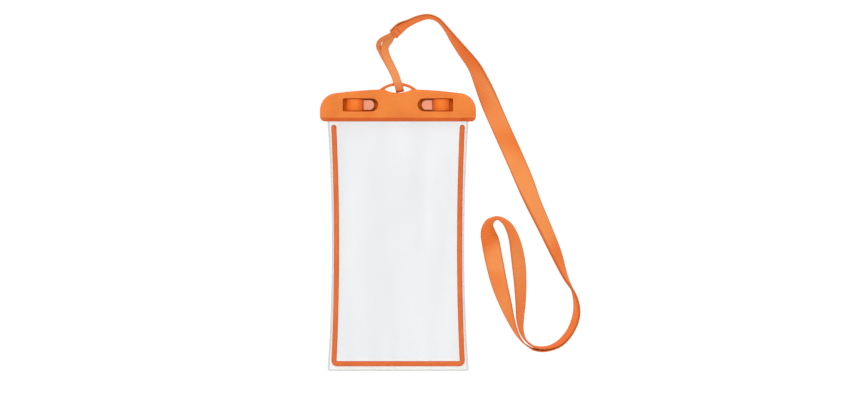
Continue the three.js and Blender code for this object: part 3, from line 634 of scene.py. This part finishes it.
STRAP_RUN = [
    (-3.4, 37.4, -69), (1.2, 41.9, -69), (6.9, 45.2, -77), (14.3, 48.5, -80), (21.1, 49.8, -85),
    (27.2, 47.6, -86), (32.8, 41.6, -83), (38.1, 34.1, -73), (44.2, 26.1, -64), (52.1, 15.6, -54),
    (57.7, 3.8, -37), (64.2, -11.8, -10), (71.1, -27.5, 0), (77.6, -41.9, 1), (85.7, -60.5, 10),
    (91.9, -76.1, 33), (100.5, -94.9, 46), (107.8, -111.4, 56), (114.6, -128.6, 78), (119.9, -138.6, 91),
    (122.0, -147.0, 100), (121.7, -155.5, 105), (117.5, -165.9, 104), (111.0, -173.3, 102),
    (104.0, -176.8, 96), (97.6, -177.6, 94), (92.2, -176.7, 92),
]
STRAP_LOOP = [
    (85.8, -173.2, 88), (81.2, -166.8, 81), (77.5, -158.3, 69), (73.7, -147.1, 51), (69.4, -133.1, 32),
    (66.1, -118.7, 17), (63.6, -105.7, 12), (62.0, -96.4, 40), (63.6, -90.2, 70), (67.5, -87.9, 81),
    (71.6, -89.5, 75), (75.8, -93.9, 64), (78.9, -100.7, 56), (80.9, -108.9, 47), (82.5, -119.1, 42),
    (83.5, -131.4, 47), (83.8, -145.6, 56), (83.5, -156.4, 65), (84.3, -164.8, 76), (87.5, -171.6, 87),
]
TAPE_UPPER = [
    (0.9, 0.75, 6.5, 0), (0.62, 2.1, 6.7, 0), (0.05, 3.6, 6.8, 0), (-0.6, 5.4, 6.7, 0),
    (-2.0, 9.6, 4.6, 0), (-5.1, 16.3, 2.6, -2), (-7.8, 22.0, 2.4, -8), (-8.9, 25.6, 2.7, -16),
    (-9.2, 28.2, 3.0, -24), (-8.4, 30.8, 3.5, -22), (-6.1, 33.7, 4.0, -32),
]
TAPE_LOWER = [
    (0.9, 0.75, 1.7, 0), (0.62, 2.1, 1.5, 0), (0.05, 3.6, 1.4, 0), (-0.6, 5.4, 1.3, 0),
    (-2.0, 9.6, 1.0, 0), (-5.3, 16.3, 1.0, -3), (-8.3, 21.6, 1.5, -14), (-11.2, 25.6, 2.8, -42),
    (-13.3, 29.4, 4.8, -56), (-12.6, 32.6, 6.6, -62), (-8.8, 35.6, 8.4, -66),
]
STRAP_REST_GAP = 0.2
TAPE_WIDTH = 5.65
TAPE_TUCK = 6.0
RELIEF = 0.06  # how far the ribs stand out
SELVEDGE_WIDTH = 0.9
TURN_CENTRE_Z = 4.1
TURN_RADIUS = 2.4
LAYER_GAP = 0.08
PARTING_SPREAD = 0.45
PARTING_STATIONS = 5
SEAM_GAP = 0.15
TAPE_SIDE_GAP = 0.05
STRAP_SPREAD = (STRAP_THICK + LAYER_GAP) / 2
SEWN_SPREAD = (TAPE_THICK + STRAP_THICK) / 2 + SEAM_GAP
TAPE_SIDE = (TAPE_WIDTH + TAPE_SIDE_GAP) / 2


def curve_value(values, t, even):
    """A smooth line through values, at t from 0 to 1; even leaves out the weighting by distance."""
    count = len(values)
    p = (count - 1) * t
    index = min(int(p), count - 2)
    weight = p - index
    p1, p2 = values[index], values[index + 1]
    p0 = values[index - 1] if index > 0 else p1 * 2 - p2
    p3 = values[index + 2] if index + 2 < count else p2 * 2 - p1
    if even:
        start = (p2 - p0) * 0.5
        end = (p3 - p1) * 0.5
    else:
        d0 = max((p1 - p0).length, 1e-6) ** 0.5
        d1 = max((p2 - p1).length, 1e-6) ** 0.5
        d2 = max((p3 - p2).length, 1e-6) ** 0.5
        start = ((p1 - p0) / d0 - (p2 - p0) / (d0 + d1) + (p2 - p1) / d1) * d1
        end = ((p2 - p1) / d1 - (p3 - p1) / (d1 + d2) + (p3 - p2) / d2) * d1
    w2, w3 = weight ** 2, weight ** 3
    squared = p2 * 3 - p1 * 3 - start * 2 - end
    cubed = p1 * 2 - p2 * 2 + start + end
    return p1 + start * weight + squared * w2 + cubed * w3


def rolled_line(points, step):
    """Stations a step apart along the points: t, place, wide and face, in millimetres."""
    places = [Vector((x, y + CLIP_HIGH, z)) for x, y, z, _ in points]
    rolls = [Vector((p[3], 0, 0)) for p in points]
    fine = 30 * (len(points) - 1)
    dense = [curve_value(places, k / fine, False) for k in range(fine + 1)]
    lengths = [0.0]
    for a, b in zip(dense, dense[1:]):
        lengths.append(lengths[-1] + (b - a).length)
    count = max(int(round(lengths[-1] / step)), 2)
    stations = []
    at = 0
    for i in range(count + 1):
        goal = lengths[-1] * i / count
        while at < fine - 1 and lengths[at + 1] < goal:
            at += 1
        share = (goal - lengths[at]) / max(lengths[at + 1] - lengths[at], 1e-9)
        t = min((at + share) / fine, 1.0)
        before = curve_value(places, max(t - 1e-4, 0.0), False)
        after = curve_value(places, min(t + 1e-4, 1.0), False)
        along = (after - before).normalized()
        roll = math.radians(curve_value(rolls, t, True).x)
        side = along.cross(Vector((0, 0, 1))).normalized()
        up = side.cross(along).normalized()
        wide = side * math.cos(roll) + up * math.sin(roll)
        face = up * math.cos(roll) - side * math.sin(roll)
        stations.append((t, curve_value(places, t, False), wide, face))
    return stations


def standing(point, layers):
    x, y, roll = point
    lean = math.radians(roll)
    stack = layers * STRAP_THICK + (layers - 1) * LAYER_GAP
    z = STRAP_WIDTH / 2 * abs(math.sin(lean)) + stack / 2 * abs(math.cos(lean)) + STRAP_REST_GAP
    return (x, y, z, roll)


def ribbon(name, stations, width, thickness, rib):
    """Webbing along stations of (place, wide) in millimetres, with its cross ribs as real relief."""
    last = len(stations) - 1
    placed = []
    rings = []
    lengths = [0.0]
    for i in range(last):
        lengths.append(lengths[-1] + (stations[i + 1][0] - stations[i][0]).length)
    half = width / 2
    low = thickness / 2
    across = [-1.0, -0.93, -0.83, -0.5, 0.0, 0.5, 0.83, 0.93, 1.0]
    for i, (place, wide) in enumerate(stations):
        along = (stations[min(i + 1, last)][0] - stations[max(i - 1, 0)][0]).normalized()
        square = (wide - along * wide.dot(along)).normalized()
        thick = along.cross(square)
        placed.append((place * MM, square, thick))
        lift = RELIEF * abs(math.cos(math.pi * lengths[i] / rib))
        ring = []
        for sign in (-1, 1):
            for a in across:
                x = sign * a * half
                inset = half - abs(x)
                edge = min(inset / (thickness * 0.45), 1.0)
                rise = low * math.sqrt(1 - (1 - edge) ** 2 * 0.5) - RELIEF
                rise += RELIEF if inset < SELVEDGE_WIDTH else lift
                ring.append((-x * MM, sign * rise * MM))
        rings.append(ring)
    piece = sweep(name, placed, rings)
    uv = piece.data.uv_layers.new(name="cloth")
    sides = len(rings[0])
    for loop in piece.data.loops:
        station, k = divmod(loop.vertex_index, sides)
        x = rings[station][k][0] / MM
        uv.data[loop.index].uv = (0.5 + x / width, lengths[station] / width)
    return piece


STEP = STRAP_RIB / 4
run_points = [standing(point, 2) for point in STRAP_RUN]
for i in (0, 1):
    x, y, z, roll = run_points[i]
    run_points[i] = (x, y, z + SEWN_SPREAD - STRAP_SPREAD, roll)
run_line = rolled_line(run_points, STEP)
RUN_STEPS = 30
SEWN_STATIONS = 3


def layer_spread(t):
    together = smoothstep(t * RUN_STEPS, 1, SEWN_STATIONS)
    parted = smoothstep(t * RUN_STEPS, RUN_STEPS - PARTING_STATIONS, RUN_STEPS)
    return SEWN_SPREAD + (STRAP_SPREAD - SEWN_SPREAD) * together + PARTING_SPREAD * parted


upper_layer = [(place + face * layer_spread(t), wide) for t, place, wide, face in run_line]
lower_layer = [(place - face * layer_spread(t), wide) for t, place, wide, face in run_line]
parting_roll = STRAP_RUN[-1][2]
first = upper_layer[-1][0]
back = lower_layer[-1][0]
loop_points = [(first.x, first.y - CLIP_HIGH, first.z, parting_roll)]
loop_points += [standing(point, 1) for point in STRAP_LOOP]
loop_points.append((back.x, back.y - CLIP_HIGH, back.z, 180 - parting_roll))
loop_line = rolled_line(loop_points, STEP)
loop_layer = [(place, wide) for _, place, wide, _ in loop_line[3:-3]]
strap = ribbon(
    "neck_strap_webbing", upper_layer + loop_layer + lower_layer[::-1], STRAP_WIDTH, STRAP_THICK, STRAP_RIB,
)
finish_piece(strap, webbing, "pouch", "orange_webbing", "neck_strap")

sewn_place, sewn_wide, sewn_face = run_line[0][1:]
inward = (run_line[6][1] - sewn_place).normalized()


def tucked(side):
    depths = [TAPE_TUCK * (1 - k / 12) for k in range(13)]
    return [(sewn_place + inward * depth + sewn_wide * side, sewn_wide) for depth in depths]


tape_upper = [(place, wide) for _, place, wide, _ in rolled_line(TAPE_UPPER, TAPE_RIB / 4)]
tape_lower = [(place, wide) for _, place, wide, _ in rolled_line(TAPE_LOWER, TAPE_RIB / 4)]
turn_start = tape_upper[0][0]
turn_along = tape_upper[4][0] - turn_start
turn_along.z = 0
turn_along.normalize()
turn = []
for i in range(1, 24):
    angle = math.pi / 2 + i / 24 * math.pi
    place = turn_start + turn_along * (TURN_RADIUS * math.cos(angle))
    place.z = TURN_CENTRE_Z + TURN_RADIUS * math.sin(angle)
    turn.append((place, tape_upper[0][1]))


def joined(before, after):
    """Stations that carry one stretch smoothly into the next, where there is a gap between them."""
    (p1, w1), (p2, w2) = before[-1], after[0]
    d1 = (p1 - before[-3][0]).normalized()
    d2 = (after[2][0] - p2).normalized()
    reach = (p2 - p1).length
    steps = max(int(reach / 0.3), 2)
    bridge = []
    for k in range(1, steps):
        t = k / steps
        a, b = p1 + d1 * (reach * t), p2 - d2 * (reach * (1 - t))
        ease = t * t * (3 - 2 * t)
        bridge.append((a.lerp(b, ease), w1.lerp(w2, ease).normalized()))
    return before + bridge + after


inner_half = joined(tucked(TAPE_SIDE), tape_upper[::-1])
outer_half = joined(tape_lower, tucked(-TAPE_SIDE)[::-1])
tape_stations = inner_half + turn + outer_half
tape = ribbon("tether_tape_webbing", tape_stations, TAPE_WIDTH, TAPE_THICK, TAPE_RIB)
finish_piece(tape, tape_webbing, "pouch", "orange_webbing", "tether_tape")


# Two rows of stitches hold the tape's ends in between the strap's ends, seen on both faces

def stitch_tree():
    tree = bpy.data.node_groups.new("stitch_row", "GeometryNodeTree")
    tree.interface.new_socket(name="Row", in_out="INPUT", socket_type="NodeSocketGeometry")
    for label in ("Stitch length", "Pitch", "Thread thickness"):
        tree.interface.new_socket(name=label, in_out="INPUT", socket_type="NodeSocketFloat")
    tree.interface.new_socket(name="Stitches", in_out="OUTPUT", socket_type="NodeSocketGeometry")
    given = add_node(tree, "NodeGroupInput")
    line = add_node(tree, "GeometryNodeMeshToCurve", links={"Mesh": (given, "Row")})
    spots = add_node(tree, "GeometryNodeResampleCurve", {"mode": "LENGTH"}, {
        "Curve": (line, "Curve"), "Length": (given, "Pitch"),
    })
    along = add_node(tree, "GeometryNodeInputTangent")
    turned = add_node(tree, "FunctionNodeAlignRotationToVector", {"axis": "Z"}, {
        "Vector": (along, "Tangent"),
    })
    ball = add_node(tree, "GeometryNodeMeshUVSphere", links={"Segments": 10, "Rings": 8, "Radius": 0.5})
    bead = add_node(tree, "GeometryNodeSetShadeSmooth", links={"Geometry": (ball, "Mesh")})
    scale = add_node(tree, "ShaderNodeCombineXYZ", links={
        "X": (given, "Thread thickness"), "Y": (given, "Thread thickness"), "Z": (given, "Stitch length"),
    })
    placed = add_node(tree, "GeometryNodeInstanceOnPoints", links={
        "Points": (spots, "Curve"), "Instance": (bead, "Geometry"), "Rotation": (turned, "Rotation"),
        "Scale": (scale, "Vector"),
    })
    real = add_node(tree, "GeometryNodeRealizeInstances", links={"Geometry": (placed, "Instances")})
    finish = add_node(tree, "GeometryNodeSetMaterial", links={
        "Geometry": (real, "Geometry"), "Material": thread,
    })
    result = add_node(tree, "NodeGroupOutput")
    tree.links.new(finish.outputs[0], result.inputs[0])
    return tree


STITCH_ROWS = (1.3, 4.6)
STITCH_LENGTH = 1.5
STITCH_PITCH = 1.9
THREAD_THICK = 0.4
ROW_HALF = 5.3
row_points = []
row_edges = []
for depth in STITCH_ROWS:
    for side in (-1, 1):
        surface = SEWN_SPREAD + STRAP_THICK / 2 + THREAD_THICK * 0.1
        middle = sewn_place + inward * depth + sewn_face * (surface * side)
        row_edges.append((len(row_points), len(row_points) + 1))
        row_points += [(middle + sewn_wide * s) * MM for s in (-ROW_HALF, ROW_HALF)]
row_mesh = bpy.data.meshes.new("joint_stitches")
row_mesh.from_pydata([tuple(p) for p in row_points], row_edges, [])
stitches = bpy.data.objects.new("joint_stitches", row_mesh)
bpy.context.collection.objects.link(stitches)
sewing = stitches.modifiers.new("sewing", "NODES")
sewing.node_group = stitch_tree()
stitch_sizes = {"Stitch length": STITCH_LENGTH, "Pitch": STITCH_PITCH, "Thread thickness": THREAD_THICK}
for item in sewing.node_group.interface.items_tree:
    if item.name in stitch_sizes:
        sewing[item.identifier] = stitch_sizes[item.name] * MM
apply_modifiers(stitches)
finish_piece(stitches, thread, "pouch", "orange_webbing")


def path_length(path):
    return sum((b - a).length for a, b in zip(path, path[1:]))


PATH_STEP = 40  # stations between the points of the declared route
strap_path = [place * MM for _, place, _, _ in run_line[::PATH_STEP]]
strap_path += [place * MM for place, _ in loop_layer[PATH_STEP // 2::PATH_STEP]]
# The tape's route is taken as the middle line between its two strands, from the eye to the joint
tape_path = []
for k in range(31):
    a = tape_upper[round(k / 30 * (len(tape_upper) - 1))][0]
    b = tape_lower[round(k / 30 * (len(tape_lower) - 1))][0]
    tape_path.append((a + b) / 2 * MM)
inner_bridge = [place for place, _ in inner_half[13:-len(tape_upper)]][::-1]
outer_bridge = [place for place, _ in outer_half[len(tape_lower):-13]]
for share in (0.2, 0.4, 0.6, 0.8):
    a = inner_bridge[round(share * (len(inner_bridge) - 1))]
    b = outer_bridge[round(share * (len(outer_bridge) - 1))]
    tape_path.append((a + b) / 2 * MM)
tape_path += [(sewn_place + inward * depth) * MM for depth in (0.0, 1.5, 3.0, 4.5, TAPE_TUCK)]
print("lanyard lengths", round(path_length(strap_path), 4), round(path_length(tape_path), 4))


# Plain pale floor and soft studio light

FLOOR_HALF = 6
FLOOR_Z = -0.2 * MM
floor_corners = [(x * FLOOR_HALF, y * FLOOR_HALF, FLOOR_Z) for x, y in ((-1, -1), (1, -1), (1, 1), (-1, 1))]
floor = link_mesh("floor", floor_corners, [(0, 1, 2, 3)])
# Opal acrylic lit from beneath: an even white with no shadow on it
light_table, _, floor_shader = new_material("glowing_white_acrylic")
floor_shader.inputs["Base Color"].default_value = (0.05, 0.05, 0.05, 1.0)
floor_shader.inputs["Roughness"].default_value = 0.9
floor_shader.inputs["Specular IOR Level"].default_value = 0.1
floor_shader.inputs["Emission Color"].default_value = (1.0, 1.0, 1.0, 1.0)
floor_shader.inputs["Emission Strength"].default_value = 1.0
floor.data.materials.append(light_table)

world = bpy.data.worlds.new("studio")
world.use_nodes = True
world.node_tree.nodes["Background"].inputs["Color"].default_value = (1.0, 1.0, 1.0, 1.0)
world.node_tree.nodes["Background"].inputs["Strength"].default_value = 1.0
bpy.context.scene.world = world


def softbox(name, place, size, power):
    data = bpy.data.lights.new(name, "AREA")
    data.shape = "SQUARE"
    data.size = size
    data.energy = power
    light = bpy.data.objects.new(name, data)
    light.location = place
    light.rotation_euler = (-Vector(place)).to_track_quat("-Z", "Y").to_euler()
    bpy.context.collection.objects.link(light)


softbox("key", (-0.5, 1.2, 1.4), 0.8, 9.0)
softbox("fill", (0.3, 0.35, 1.9), 0.6, 2.5)

bpy.context.scene.view_settings.view_transform = "Standard"
